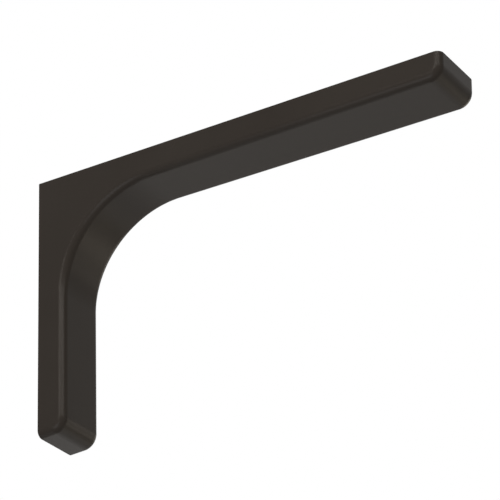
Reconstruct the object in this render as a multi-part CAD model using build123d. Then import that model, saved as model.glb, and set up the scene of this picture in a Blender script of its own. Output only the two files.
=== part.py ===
from build123d import *
import math
import os

os.makedirs("parts", exist_ok=True)

# A shelf bracket: a pressed steel angle that is screwed to the wall and to the
# shelf, and a moulded cover that snaps over it and hides the screws.
# X runs out from the wall along the shelf, Y runs across, and Z points up.
# The origin is the corner where the wall plane and the shelf plane meet, mid width.
# All sizes are millimetres and all angles are degrees.

# Cover, outside
shelf_arm = 180.0
wall_arm = 109.0
wall_arm_width = 24.0
tip_width = 28.0
arm_depth = 12.0
tip_depth = 11.0
elbow_radius = 39.5
edge_round = 2.8
end_blend = 6.0
tip_lean = 2.5
foot_lean = 4.0

# Cover, inside
cover_wall = 1.8
web_thickness = 1.4
elbow_web_spacing = 15.0
web_to_clip = 9.5

# Steel angle
steel_thickness = 2.0
bend_radius = 2.0
strip_side_gap = 0.7
strip_end_gap = 1.0
strip_corner = 3.0
bead_width = 9.0
bead_height = 3.0
bead_crest_round = 1.6
hollow_round = 0.4
gusset_reach = 30.0
gusset_radius = 10.0

# Screw holes: the first from the corner along each arm, the last from the arm's end
hole_diameter = 5.0
wall_hole_first = 40.0
wall_hole_to_foot = 15.0
shelf_hole_first = 42.0
shelf_hole_to_tip = 24.0
hole_to_bead = 10.0

# Snap clips, prongs of the cover that spring into slots in the steel's beads
clip_slot_length = 8.0
clip_slot_width = 3.8
clip_gap = 0.25
prong_thickness = 1.3
hook_reach = 0.9
hook_gap = 0.1
prong_tip_gap = 0.5
shelf_clip_spacing = 42.0

# Clearance between the cover's webs and the sides and crests of the beads
bead_gap = 0.4

# How far cuts run past the open planes, and how deep inside parts root in the wall
overrun = 6.0
root = cover_wall / 2

# Each arm has a frame of its own: first axis along the arm from the corner,
# last axis away from the surface that the arm is screwed to.
wall_frame = Plane(origin=(0, 0, 0), x_dir=(0, 0, -1), z_dir=(1, 0, 0))
shelf_frame = Plane(origin=(0, 0, 0), x_dir=(1, 0, 0), z_dir=(0, 0, -1))

wall_holes = [wall_hole_first, wall_arm - wall_hole_to_foot]
shelf_holes = [shelf_hole_first, shelf_arm - shelf_hole_to_tip]
wall_clips = [sum(wall_holes) / 2]
shelf_middle = sum(shelf_holes) / 2
shelf_clips = [shelf_middle - shelf_clip_spacing / 2, shelf_middle + shelf_clip_spacing / 2]

# How much longer a 45 degree slope is than it is deep
slope_length = math.sqrt(2)

underside_slope = (arm_depth - tip_depth) / (shelf_arm - arm_depth)
flare = (tip_width - wall_arm_width) / 2 / shelf_arm
widest = max(tip_width, wall_arm_width)


def half_width(x, inset):
    """Half of the cover's width at x, less an inset square to the side wall."""
    return wall_arm_width / 2 + flare * x - inset * math.hypot(1, flare)


def end_line(arm, lean, inset, height):
    """Where an end wall stands along its arm, at a height off the mounting plane."""
    return arm - inset / math.cos(math.radians(lean)) - height * math.tan(math.radians(lean))


def underside(x, inset):
    """Level of the shelf arm's underside at x."""
    return -arm_depth + underside_slope * (x - arm_depth) + inset * math.hypot(1, underside_slope)


def side_view(inset, past):
    """Outline seen from the side, drawn in by inset and run past both open planes."""
    front = arm_depth - inset
    tip_x = end_line(shelf_arm, tip_lean, inset, -underside(shelf_arm, inset))
    tip_corner = (tip_x, underside(tip_x, inset))
    foot_corner = (front, -end_line(wall_arm, foot_lean, inset, front))
    elbow = (front, underside(front, inset))
    outline = Polyline(
        (-past, past),
        (end_line(shelf_arm, tip_lean, inset, -past), past),
        tip_corner,
        elbow,
        foot_corner,
        (-past, -end_line(wall_arm, foot_lean, inset, -past)),
        close=True,
    )
    face = Plane.XZ * make_face(outline)
    for corner, radius in (
        (elbow, elbow_radius + inset),
        (tip_corner, end_blend - inset),
        (foot_corner, end_blend - inset),
    ):
        at = Vector(corner[0], 0, corner[1])
        vertex = face.vertices().sort_by_distance(at)[0]
        face = fillet(vertex, radius)
    return face


def arm_form(inset=0.0, past=0.0):
    """The cover's whole outer form as a solid, drawn in by inset on each visible side."""
    side = extrude(side_view(inset, past), amount=widest, both=True)
    near, far = -past - overrun, shelf_arm + past + overrun
    plan = Polyline(
        (near, -half_width(near, inset)),
        (far, -half_width(far, inset)),
        (far, half_width(far, inset)),
        (near, half_width(near, inset)),
        close=True,
    )
    body = side & extrude(make_face(plan), amount=wall_arm + 2 * past, both=True)
    flanks = body.faces().filter_by(lambda f: abs(f.normal_at().Y) > 0.9)
    rims = [
        edge
        for edge in flanks.edges()
        if abs(edge.center().X + past) > 0.01 and abs(edge.center().Z - past) > 0.01
    ]
    return fillet(rims, edge_round - inset)


def bead_form(start, end, inset=0.0, grow=0.0):
    """A straight pressed bead in an arm's frame: ramped ends, rounded crest.

    inset draws it in by the steel's thickness for the hollow behind it, and grow
    swells it for the room that it is given in the cover.
    """
    crest = steel_thickness + bead_height - inset + grow
    shift = (inset - grow) * slope_length
    floor = -overrun if inset else 0.0
    points = [
        (start + shift + floor - steel_thickness, floor),
        (start + shift + crest - steel_thickness, crest),
        (end - shift - crest + steel_thickness, crest),
        (end - shift - floor + steel_thickness, floor),
    ]
    face = Plane.XZ * make_face(Polyline(*points, close=True))
    solid = extrude(face, amount=bead_width / 2 - inset + grow, both=True)
    crest_edges = solid.edges().filter_by(Axis.X).group_by(Axis.Z)[-1]
    return fillet(crest_edges, hollow_round if inset else bead_crest_round)


def gusset_form(inset=0.0, grow=0.0):
    """The pressed gusset: one bead that runs down both arms and rounds the corner."""
    crest = steel_thickness + bead_height - inset + grow
    shift = (inset - grow) * slope_length
    floor = -overrun if inset else 0.0
    foot = gusset_reach - shift - floor + steel_thickness
    top = gusset_reach - shift - crest + steel_thickness
    outline = Polyline(
        (floor, -floor),
        (foot, -floor),
        (top, -crest),
        (crest, -crest),
        (crest, -top),
        (floor, -foot),
        close=True,
    )
    face = Plane.XZ * make_face(outline)
    inner = face.vertices().sort_by_distance(Vector(crest, 0, -crest))[0]
    face = fillet(inner, gusset_radius + inset - grow)
    solid = extrude(face, amount=bead_width / 2 - inset + grow, both=True)
    crest_edges = [
        edge
        for edge in solid.edges()
        if abs(abs(edge.center().Y) - (bead_width / 2 - inset + grow)) < 0.01
        and min(edge.center().X, -edge.center().Z) > crest - 0.01
    ]
    return fillet(crest_edges, hollow_round if inset else bead_crest_round)


def beads(inset=0.0, grow=0.0):
    """Every pressed bead of the steel angle, placed."""
    wall = bead_form(wall_holes[0] + hole_to_bead, wall_holes[1] - hole_to_bead, inset, grow)
    shelf = bead_form(shelf_holes[0] + hole_to_bead, shelf_holes[1] - hole_to_bead, inset, grow)
    return [gusset_form(inset, grow), wall_frame * wall, shelf_frame * shelf]


def steel_angle():
    """A blank bent square, with beads pressed in, screw holes and clip slots."""
    wall_end = end_line(wall_arm, foot_lean, cover_wall, steel_thickness) - strip_end_gap
    shelf_end = end_line(shelf_arm, tip_lean, cover_wall, steel_thickness) - strip_end_gap
    outline = Polyline(
        (0, 0),
        (shelf_end, 0),
        (shelf_end, -steel_thickness),
        (steel_thickness, -steel_thickness),
        (steel_thickness, -wall_end),
        (0, -wall_end),
        close=True,
    )
    face = Plane.XZ * make_face(outline)
    outer = face.vertices().sort_by_distance(Vector(0, 0, 0))[0]
    face = fillet(outer, bend_radius + steel_thickness)
    inner = face.vertices().sort_by_distance(Vector(steel_thickness, 0, -steel_thickness))[0]
    face = fillet(inner, bend_radius)
    strip = extrude(face, amount=widest, both=True)

    inset = cover_wall + strip_side_gap
    blank = Polyline(
        (-overrun, -half_width(-overrun, inset)),
        (shelf_end, -half_width(shelf_end, inset)),
        (shelf_end, half_width(shelf_end, inset)),
        (-overrun, half_width(-overrun, inset)),
        close=True,
    )
    strip = strip & extrude(make_face(blank), amount=wall_arm + overrun, both=True)
    ends = strip.edges().group_by(Axis.X)[-1] + strip.edges().group_by(Axis.Z)[0]
    strip = fillet([edge for edge in ends if abs(edge.tangent_at(0).Y) < 0.5], strip_corner)

    for bead in beads():
        strip = strip + bead
    for hollow in beads(inset=steel_thickness):
        strip = strip - hollow
    for frame, holes, clips in (
        (wall_frame, wall_holes, wall_clips),
        (shelf_frame, shelf_holes, shelf_clips),
    ):
        for along in holes:
            strip = strip - frame * Pos(along, 0, 0) * Cylinder(hole_diameter / 2, 4 * steel_thickness)
        for along in clips:
            crest = steel_thickness + bead_height
            slot = Box(clip_slot_length, clip_slot_width, 2 * steel_thickness)
            strip = strip - frame * Pos(along, 0, crest) * slot
    return strip


def steel_room():
    """The space that the steel angle fills or backs onto, with room round its beads."""
    far = shelf_arm + wall_arm
    outline = Polyline(
        (-overrun, overrun),
        (far, overrun),
        (far, -steel_thickness),
        (steel_thickness, -steel_thickness),
        (steel_thickness, -far),
        (-overrun, -far),
        close=True,
    )
    face = Plane.XZ * make_face(outline)
    inner = face.vertices().sort_by_distance(Vector(steel_thickness, 0, -steel_thickness))[0]
    room = extrude(fillet(inner, bend_radius), amount=widest, both=True)
    for bead in beads(grow=bead_gap):
        room = room + bead
    return room


def prong_pair(depth):
    """Two sprung prongs in an arm's frame, rooted in the cover at depth."""
    outer = clip_slot_length / 2 - clip_gap
    catch = bead_height - hook_gap
    outline = Polyline(
        (outer, depth),
        (outer, catch),
        (outer + hook_reach, catch),
        (outer - hook_reach / 2, prong_tip_gap),
        (outer - prong_thickness, prong_tip_gap),
        (outer - prong_thickness, depth),
        close=True,
    )
    prong = extrude(Plane.XZ * make_face(outline), amount=clip_slot_width / 2 - clip_gap, both=True)
    return [prong, mirror(prong, about=Plane.YZ)]


def cover_webs():
    """Webs inside the cover that seat on the steel, before they are cut to it."""
    webs = []
    for frame, clips in ((wall_frame, wall_clips), (shelf_frame, shelf_clips)):
        for along in clips:
            for side in (-web_to_clip, web_to_clip):
                plate = Box(web_thickness, widest, 2 * arm_depth)
                webs.append(frame * Pos(along + side, 0, arm_depth) * plate)
    for step in (-1, 0, 1):
        plate = Box(4 * elbow_radius, widest, web_thickness)
        shift = step * elbow_web_spacing / slope_length
        webs.append(Pos(shift, 0, shift) * Rot(0, 45, 0) * plate)
    return webs


def cover():
    """The moulded shell: open to the wall and the shelf, webbed and clipped inside."""
    shell = arm_form() - arm_form(cover_wall, overrun)
    inside = arm_form(root)
    room = steel_room()
    for web in cover_webs():
        shell = shell + ((web & inside) - room)
    for along in wall_clips:
        for prong in prong_pair(arm_depth - root):
            shell = shell + wall_frame * Pos(along, 0, 0) * prong
    for along in shelf_clips:
        for prong in prong_pair(-underside(along, root)):
            shell = shell + shelf_frame * Pos(along, 0, 0) * prong
    return shell


export_step(cover(), "parts/cover.step")
export_step(steel_angle(), "parts/steel_angle.step")
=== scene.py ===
"""Finish, light and camera for a covered shelf bracket, laid out as an add-on.

The moulded cover and the steel angle inside it keep their construction solids.
This file gives them their surfaces, and sets up the floor, lamps and camera.
"""
import math
from typing import NamedTuple

import bpy
import numpy as np
from bpy.props import FloatProperty, FloatVectorProperty, PointerProperty
from mathutils import Matrix, Vector


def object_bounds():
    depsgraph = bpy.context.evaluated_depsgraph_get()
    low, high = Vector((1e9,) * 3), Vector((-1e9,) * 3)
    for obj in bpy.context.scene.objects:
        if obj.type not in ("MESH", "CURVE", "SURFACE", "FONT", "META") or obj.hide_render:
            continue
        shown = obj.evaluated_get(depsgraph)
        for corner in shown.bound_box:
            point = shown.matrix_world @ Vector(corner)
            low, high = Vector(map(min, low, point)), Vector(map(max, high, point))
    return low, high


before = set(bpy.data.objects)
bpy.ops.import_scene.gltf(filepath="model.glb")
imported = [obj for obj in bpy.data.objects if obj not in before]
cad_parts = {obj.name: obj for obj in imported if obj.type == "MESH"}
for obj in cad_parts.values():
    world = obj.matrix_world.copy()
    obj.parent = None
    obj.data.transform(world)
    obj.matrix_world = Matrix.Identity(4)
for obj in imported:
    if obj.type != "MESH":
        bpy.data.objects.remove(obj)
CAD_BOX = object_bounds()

bl_info = {
    "name": "Covered Shelf Bracket",
    "version": (1, 0, 0),
    "blender": (4, 5, 0),
    "location": "View3D > Sidebar > Shelf Bracket",
    "description": "Surfaces, light and camera for a shelf bracket with a clip-on cover",
    "category": "Object",
}

# Plastic: how fine its drifts and its grain are, and how far its roughness drifts each way
DRIFT_DETAIL = 3.0
GRAIN_DETAIL = 2.0
GLOSS_DRIFT = 0.03

# Kept low, because the white surroundings would grey the plastic where it is seen at a slant
PLASTIC_SPECULAR = 0.045

# Zinc: clouds a few spangles wide vary the tone and the roughness, and lift the surface a little
SPANGLES_PER_CLOUD = 4
CLOUD_DETAIL = 4.0
CLOUD_DEPTH = 0.00001
DULL_UNDER = 0.05
BRIGHT_OVER = 0.4
CLOUD_SMOOTHER = 0.08
CLOUD_ROUGHER = 0.1

# Floor: half its side, and the faint mottle that shades it
FLOOR_HALF = 30.0
MOTTLE_SIZE = 0.3
MOTTLE_DETAIL = 3.0
MOTTLE_SHADE = 0.97
FLOOR_ROUGHNESS = 0.9

# Strength at which the room is seen as white
WHITE_LEVEL = 1.0

# Camera: the picture's side in pixels, the sensor's width in millimetres, how far it sees,
# and the point it is aimed by, with where that lands in pixels right of and below the middle
PICTURE_SIDE = 500
SENSOR_WIDTH = 36.0
SIGHT_END = 100.0
AIM_POINT = Vector((0.060, 0.0, -0.040))
AIM_PIXELS = (-64.9, -4.15)

# Points that the lamps face
BRACKET_MIDDLE = (0.07, 0.0, -0.04)
WALL_ARM_FRONT = (0.012, 0.0, -0.06)
ABOVE_FOOT = (0.01, 0.0, -0.08)
FOOT = (0.0, 0.0, CAD_BOX[0][2])


class Lamp(NamedTuple):
    """A soft lamp that faces a point from a direction. Lengths are metres, and power is watts."""

    name: str
    direction: tuple
    distance: float
    size: tuple
    power: float
    target: tuple = BRACKET_MIDDLE
    colour: tuple = (1.0, 1.0, 1.0)
    spares: str = ""


LAMPS = (
    # Fills the near side of both arms from close by, so that the foot gets the most
    Lamp(
        name="lamp_side",
        direction=(0.0, -0.9, -0.45),
        distance=0.7,
        size=(0.45, 0.45),
        power=3.0,
        target=ABOVE_FOOT,
        colour=(0.94, 0.95, 1.0),
    ),
    # A long strip that draws the highlight on upright edges; the steel's top would mirror it
    Lamp(
        name="lamp_edge",
        direction=(0.362, -0.812, 0.458),
        distance=1.5,
        size=(2.4, 0.14),
        power=24.5,
        colour=(1.0, 0.94, 0.87),
        spares="steel_angle",
    ),
    # Warms the undersides, the sweep and the end walls
    Lamp(
        name="lamp_low",
        direction=(0.5, 0.65, -0.5),
        distance=1.5,
        size=(1.2, 1.2),
        power=4.4,
        colour=(1.0, 0.89, 0.70),
    ),
    # Reaches the wall arm's front from the far side, and passes the tip's end wall
    Lamp(
        name="lamp_front",
        direction=(0.43, 0.9, -0.07),
        distance=0.55,
        size=(0.3, 0.3),
        power=0.9,
        target=WALL_ARM_FRONT,
        colour=(1.0, 0.9, 0.76),
    ),
    # A strip that draws the long highlight on the rounded edge of the wall arm
    Lamp(
        name="lamp_ridge",
        direction=(-0.444, 0.05, -0.895),
        distance=1.5,
        size=(1.7, 0.12),
        power=2.1,
    ),
    # Lights the faces that are turned to the wall and the shelf
    Lamp(
        name="lamp_back",
        direction=(-0.75, 0.55, 0.35),
        distance=1.5,
        size=(0.8, 0.8),
        power=3.5,
    ),
    # Lights the foot's end wall
    Lamp(
        name="lamp_foot",
        direction=(-0.05, 0.77, -0.59),
        distance=0.6,
        size=(0.6, 0.3),
        power=0.65,
        target=FOOT,
    ),
)


class CoverFinish(bpy.types.PropertyGroup):
    """Colours and grain of the moulded cover."""

    colour: FloatVectorProperty(
        name="Plastic",
        description="Main colour of the moulded plastic",
        subtype="COLOR",
        size=3,
        min=0.0,
        max=1.0,
        default=(0.0262, 0.0222, 0.0187),
    )
    colour_deep: FloatVectorProperty(
        name="Plastic, deep",
        description="Darker tone that drifts through the main colour",
        subtype="COLOR",
        size=3,
        min=0.0,
        max=1.0,
        default=(0.0236, 0.0198, 0.0165),
    )
    drift_size: FloatProperty(
        name="Drift size",
        description="Length over which the tone of the plastic drifts",
        unit="LENGTH",
        default=0.045,
        min=0.001,
    )
    grain_size: FloatProperty(
        name="Grain size",
        description="Pitch of the fine spark grain that the mould leaves",
        unit="LENGTH",
        default=0.00045,
        min=0.00005,
    )
    grain_depth: FloatProperty(
        name="Grain depth",
        description="Height of the spark grain",
        unit="LENGTH",
        default=0.000004,
        min=0.0,
    )
    roughness: FloatProperty(
        name="Roughness",
        description="Roughness of the satin surface",
        subtype="FACTOR",
        default=0.26,
        min=0.0,
        max=1.0,
    )


class SteelFinish(bpy.types.PropertyGroup):
    """Colours of the zinc-plated steel angle."""

    colour: FloatVectorProperty(
        name="Zinc",
        description="Main colour of the zinc plating",
        subtype="COLOR",
        size=3,
        min=0.0,
        max=1.0,
        default=(0.50, 0.51, 0.505),
    )
    colour_dull: FloatVectorProperty(
        name="Zinc, dull",
        description="Duller tone of the plating between its grains",
        subtype="COLOR",
        size=3,
        min=0.0,
        max=1.0,
        default=(0.40, 0.41, 0.415),
    )
    spangle_size: FloatProperty(
        name="Spangle size",
        description="Width of one grain of the plating",
        unit="LENGTH",
        default=0.0022,
        min=0.0001,
    )
    roughness: FloatProperty(
        name="Roughness",
        description="Roughness of the plating",
        subtype="FACTOR",
        default=0.58,
        min=0.0,
        max=1.0,
    )


class StageSetting(bpy.types.PropertyGroup):
    """Floor, room light and camera."""

    floor_drop: FloatProperty(
        name="Floor drop",
        description="How far the floor lies under the bracket's foot",
        unit="LENGTH",
        default=2.2,
        min=0.1,
    )
    floor_colour: FloatVectorProperty(
        name="Floor",
        description="Colour of the pale floor",
        subtype="COLOR",
        size=3,
        min=0.0,
        max=1.0,
        default=(0.90, 0.885, 0.86),
    )
    floor_lift: FloatProperty(
        name="Floor lift",
        description="How much the floor is lifted towards white where it is seen directly",
        subtype="FACTOR",
        default=0.85,
        min=0.0,
        max=1.0,
    )
    sky_level: FloatProperty(
        name="Room light",
        description="Strength of the even light from all round",
        subtype="FACTOR",
        default=0.20,
        min=0.0,
        max=1.0,
    )
    camera_turn: FloatProperty(
        name="Camera turn",
        description="Direction of the camera round the bracket, from straight out along the shelf arm",
        subtype="ANGLE",
        default=math.radians(-59.96),
    )
    camera_lift: FloatProperty(
        name="Camera lift",
        description="Height of the camera above level, negative when it looks up",
        subtype="ANGLE",
        default=math.radians(-27.22),
    )
    camera_roll: FloatProperty(
        name="Camera roll",
        description="Turn of the camera about its own line of sight",
        subtype="ANGLE",
        default=math.radians(-2.0),
    )
    camera_distance: FloatProperty(
        name="Camera distance",
        description="From the camera to the point that it is aimed by",
        unit="LENGTH",
        default=1.018,
        min=0.1,
    )
    camera_lens: FloatProperty(
        name="Lens",
        description="Focal length in millimetres on a 36 mm wide sensor",
        unit="CAMERA",
        default=191.2,
        min=10.0,
    )


def principled(name, target):
    """Gives an object one new node material with a Principled shader."""
    material = bpy.data.materials.new(name)
    material.use_nodes = True
    tree = material.node_tree
    tree.nodes.clear()
    output = tree.nodes.new("ShaderNodeOutputMaterial")
    shader = tree.nodes.new("ShaderNodeBsdfPrincipled")
    tree.links.new(shader.outputs["BSDF"], output.inputs["Surface"])
    target.data.materials.clear()
    target.data.materials.append(material)
    return tree, shader


def object_point(tree):
    """Object coordinates, in metres from the corner of the bracket."""
    return tree.nodes.new("ShaderNodeTexCoord").outputs["Object"]


def noise(tree, point, size, detail):
    """A noise field whose features are about one size across."""
    node = tree.nodes.new("ShaderNodeTexNoise")
    node.inputs["Scale"].default_value = 1.0 / size
    node.inputs["Detail"].default_value = detail
    tree.links.new(point, node.inputs["Vector"])
    return node.outputs["Fac"]


def spangles(tree, point, size):
    """Distance to the middle of the nearest grain, for grains about one size across."""
    node = tree.nodes.new("ShaderNodeTexVoronoi")
    node.inputs["Scale"].default_value = 1.0 / size
    tree.links.new(point, node.inputs["Vector"])
    return node.outputs["Distance"]


def combine(tree, operation, first, second):
    """One value worked out from two by a plain operation."""
    node = tree.nodes.new("ShaderNodeMath")
    node.operation = operation
    tree.links.new(first, node.inputs[0])
    tree.links.new(second, node.inputs[1])
    return node.outputs["Value"]


def colour_ramp(tree, factor, low, high, low_at=0.3, high_at=0.7):
    """Blends from one colour to another over a stretch of the factor."""
    node = tree.nodes.new("ShaderNodeValToRGB")
    node.color_ramp.elements[0].position = low_at
    node.color_ramp.elements[0].color = (*low, 1.0)
    node.color_ramp.elements[1].position = high_at
    node.color_ramp.elements[1].color = (*high, 1.0)
    tree.links.new(factor, node.inputs["Fac"])
    return node.outputs["Color"]


def spread(tree, factor, low, high):
    """Maps a factor from 0 to 1 onto a range of values."""
    node = tree.nodes.new("ShaderNodeMapRange")
    node.inputs["To Min"].default_value = low
    node.inputs["To Max"].default_value = high
    tree.links.new(factor, node.inputs["Value"])
    return node.outputs["Result"]


def bump(tree, height, depth, shader):
    """Raises a height field by its real depth on the shader's normal."""
    node = tree.nodes.new("ShaderNodeBump")
    node.inputs["Distance"].default_value = depth
    tree.links.new(height, node.inputs["Height"])
    tree.links.new(node.outputs["Normal"], shader.inputs["Normal"])


def moulded_plastic(target, finish):
    """Dark satin plastic: the tone drifts slowly, and a spark grain breaks up the gloss."""
    tree, shader = principled("moulded_umber_plastic", target)
    point = object_point(tree)
    drift = noise(tree, point, finish.drift_size, DRIFT_DETAIL)
    grain = noise(tree, point, finish.grain_size, GRAIN_DETAIL)
    colour = colour_ramp(tree, drift, finish.colour_deep, finish.colour)
    tree.links.new(colour, shader.inputs["Base Color"])
    rough = spread(tree, drift, finish.roughness - GLOSS_DRIFT, finish.roughness + GLOSS_DRIFT)
    tree.links.new(rough, shader.inputs["Roughness"])
    shader.inputs["Specular IOR Level"].default_value = PLASTIC_SPECULAR
    bump(tree, grain, finish.grain_depth, shader)


def zinc_plate(target, finish):
    """Zinc plating on pressed steel: faint spangles in soft clouds, and uneven gloss."""
    tree, shader = principled("zinc_plated_steel", target)
    point = object_point(tree)
    grains = spangles(tree, point, finish.spangle_size)
    cloud = noise(tree, point, SPANGLES_PER_CLOUD * finish.spangle_size, CLOUD_DETAIL)
    tone = combine(tree, "MULTIPLY", grains, cloud)
    colour = colour_ramp(tree, tone, finish.colour_dull, finish.colour, DULL_UNDER, BRIGHT_OVER)
    tree.links.new(colour, shader.inputs["Base Color"])
    rough = spread(tree, cloud, finish.roughness - CLOUD_SMOOTHER, finish.roughness + CLOUD_ROUGHER)
    tree.links.new(rough, shader.inputs["Roughness"])
    shader.inputs["Metallic"].default_value = 1.0
    bump(tree, cloud, CLOUD_DEPTH, shader)


def look_rotation(turn, lift, roll):
    """Camera axes: right, up and back, turned round the line of sight by roll."""
    back = Vector((math.cos(lift) * math.cos(turn), math.cos(lift) * math.sin(turn), math.sin(lift)))
    level = Vector((-math.sin(turn), math.cos(turn), 0.0))
    rise = back.cross(level)
    right = math.cos(roll) * level + math.sin(roll) * rise
    up = math.cos(roll) * rise - math.sin(roll) * level
    return right, up, back


def place(obj, right, up, back, location):
    """Puts an object at a location with its own three axes given."""
    matrix = Matrix((right, up, back)).transposed().to_4x4()
    matrix.translation = location
    obj.matrix_world = matrix


def add_camera(setting):
    """The photograph's view: the aim point lands a little left of the picture's middle.

    At the aim point one pixel is the distance over the focal length in pixels, and the
    camera stands that many times the aim point's offset to the other side.
    """
    data = bpy.data.cameras.new("camera")
    data.sensor_width = SENSOR_WIDTH
    data.lens = setting.camera_lens
    data.clip_end = SIGHT_END
    camera = bpy.data.objects.new("camera", data)
    bpy.context.scene.collection.objects.link(camera)
    right, up, back = look_rotation(setting.camera_turn, setting.camera_lift, setting.camera_roll)
    focal_pixels = setting.camera_lens / SENSOR_WIDTH * PICTURE_SIDE
    pixel = setting.camera_distance / focal_pixels
    rightwards, downwards = AIM_PIXELS
    offset = pixel * (rightwards * right - downwards * up)
    place(camera, right, up, back, AIM_POINT + setting.camera_distance * back - offset)
    bpy.context.scene.camera = camera


def spare(lamp, piece):
    """Keeps a lamp's light off one piece, which still casts its shadow."""
    group = bpy.data.collections.new(lamp.name + "_spared")
    group.objects.link(piece)
    group.collection_objects[0].light_linking.link_state = "EXCLUDE"
    lamp.light_linking.receiver_collection = group


def add_lamp(lamp):
    """A rectangular lamp with its long side level and its face to its target."""
    data = bpy.data.lights.new(lamp.name, "AREA")
    data.shape = "RECTANGLE"
    data.size, data.size_y = lamp.size
    data.energy = lamp.power
    data.color = lamp.colour
    obj = bpy.data.objects.new(lamp.name, data)
    bpy.context.scene.collection.objects.link(obj)
    back = Vector(lamp.direction).normalized()
    right = Vector((0.0, 0.0, 1.0)).cross(back).normalized()
    place(obj, right, back.cross(right), back, Vector(lamp.target) + lamp.distance * back)
    if lamp.spares:
        spare(obj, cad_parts[lamp.spares])


def seen_directly(tree, otherwise, value):
    """A value for camera, reflected and refracted rays, and another for the rest."""
    paths = tree.nodes.new("ShaderNodeLightPath").outputs
    bent = combine(tree, "MAXIMUM", paths["Is Glossy Ray"], paths["Is Transmission Ray"])
    seen = combine(tree, "MAXIMUM", paths["Is Camera Ray"], bent)
    return spread(tree, seen, otherwise, value)


def pale_world(setting):
    """Even room light, white where the camera or a reflection sees past the floor."""
    world = bpy.data.worlds.new("room")
    bpy.context.scene.world = world
    world.use_nodes = True
    tree = world.node_tree
    tree.nodes.clear()
    output = tree.nodes.new("ShaderNodeOutputWorld")
    background = tree.nodes.new("ShaderNodeBackground")
    level = seen_directly(tree, setting.sky_level, WHITE_LEVEL)
    tree.links.new(level, background.inputs["Strength"])
    background.inputs["Color"].default_value = (1.0, 1.0, 1.0, 1.0)
    tree.links.new(background.outputs["Background"], output.inputs["Surface"])


def floor_material(target, setting):
    """Pale floor with a faint mottle, lit and shadowed by the lamps.

    It is lifted to near white where the camera or a reflection sees it.
    """
    tree, shader = principled("pale_floor", target)
    mottle = noise(tree, object_point(tree), MOTTLE_SIZE, MOTTLE_DETAIL)
    pale = tuple(setting.floor_colour)
    shaded = tuple(MOTTLE_SHADE * channel for channel in pale)
    tree.links.new(colour_ramp(tree, mottle, shaded, pale), shader.inputs["Base Color"])
    shader.inputs["Roughness"].default_value = FLOOR_ROUGHNESS
    lift = tree.nodes.new("ShaderNodeEmission")
    lift.inputs["Color"].default_value = (*pale, 1.0)
    tree.links.new(seen_directly(tree, 0.0, setting.floor_lift), lift.inputs["Strength"])
    both = tree.nodes.new("ShaderNodeAddShader")
    tree.links.new(shader.outputs["BSDF"], both.inputs[0])
    tree.links.new(lift.outputs["Emission"], both.inputs[1])
    output = next(node for node in tree.nodes if node.type == "OUTPUT_MATERIAL")
    tree.links.new(both.outputs["Shader"], output.inputs["Surface"])


def add_floor(setting):
    """A wide flat floor far under the bracket, which hangs free."""
    around = np.array([(-1, -1), (1, -1), (1, 1), (-1, 1)])
    level = np.full((4, 1), CAD_BOX[0][2] - setting.floor_drop)
    corners = np.hstack((FLOOR_HALF * around, level))
    mesh = bpy.data.meshes.new("floor")
    mesh.from_pydata(corners.tolist(), [], [(0, 1, 2, 3)])
    floor = bpy.data.objects.new("floor", mesh)
    bpy.context.scene.collection.objects.link(floor)
    floor_material(floor, setting)


class BRACKET_OT_cover(bpy.types.Operator):
    """Give the moulded cover its plastic"""

    bl_idname = "bracket.finish_cover"
    bl_label = "Finish Cover"

    def execute(self, context):
        moulded_plastic(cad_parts["cover"], context.scene.bracket_cover)
        return {"FINISHED"}


class BRACKET_OT_steel(bpy.types.Operator):
    """Give the steel angle its zinc plating"""

    bl_idname = "bracket.finish_steel"
    bl_label = "Finish Steel Angle"

    def execute(self, context):
        zinc_plate(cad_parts["steel_angle"], context.scene.bracket_steel)
        return {"FINISHED"}


class BRACKET_OT_stage(bpy.types.Operator):
    """Add the floor, the lamps, the room light and the camera"""

    bl_idname = "bracket.set_stage"
    bl_label = "Set Stage"

    def execute(self, context):
        setting = context.scene.bracket_stage
        context.scene.view_settings.view_transform = "Standard"
        pale_world(setting)
        add_floor(setting)
        for lamp in LAMPS:
            add_lamp(lamp)
        add_camera(setting)
        return {"FINISHED"}


class BRACKET_PT_panel(bpy.types.Panel):
    """Lists the operators and the sizes and colours that they use"""

    bl_label = "Shelf Bracket"
    bl_idname = "BRACKET_PT_panel"
    bl_space_type = "VIEW_3D"
    bl_region_type = "UI"
    bl_category = "Shelf Bracket"

    def draw(self, context):
        groups = (
            (context.scene.bracket_cover, BRACKET_OT_cover),
            (context.scene.bracket_steel, BRACKET_OT_steel),
            (context.scene.bracket_stage, BRACKET_OT_stage),
        )
        for group, operator in groups:
            box = self.layout.box()
            for name in group.__annotations__:
                box.prop(group, name)
            box.operator(operator.bl_idname)


CLASSES = (
    CoverFinish,
    SteelFinish,
    StageSetting,
    BRACKET_OT_cover,
    BRACKET_OT_steel,
    BRACKET_OT_stage,
    BRACKET_PT_panel,
)


def register():
    """Registers the classes, and hangs each group of settings on the scene."""
    for cls in CLASSES:
        bpy.utils.register_class(cls)
    bpy.types.Scene.bracket_cover = PointerProperty(type=CoverFinish)
    bpy.types.Scene.bracket_steel = PointerProperty(type=SteelFinish)
    bpy.types.Scene.bracket_stage = PointerProperty(type=StageSetting)


def unregister():
    """Takes away what register added, in the other order."""
    del bpy.types.Scene.bracket_stage
    del bpy.types.Scene.bracket_steel
    del bpy.types.Scene.bracket_cover
    for cls in reversed(CLASSES):
        bpy.utils.unregister_class(cls)


def main():
    """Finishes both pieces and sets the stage."""
    register()
    bpy.ops.bracket.finish_cover()
    bpy.ops.bracket.finish_steel()
    bpy.ops.bracket.set_stage()


if __name__ == "__main__":
    main()
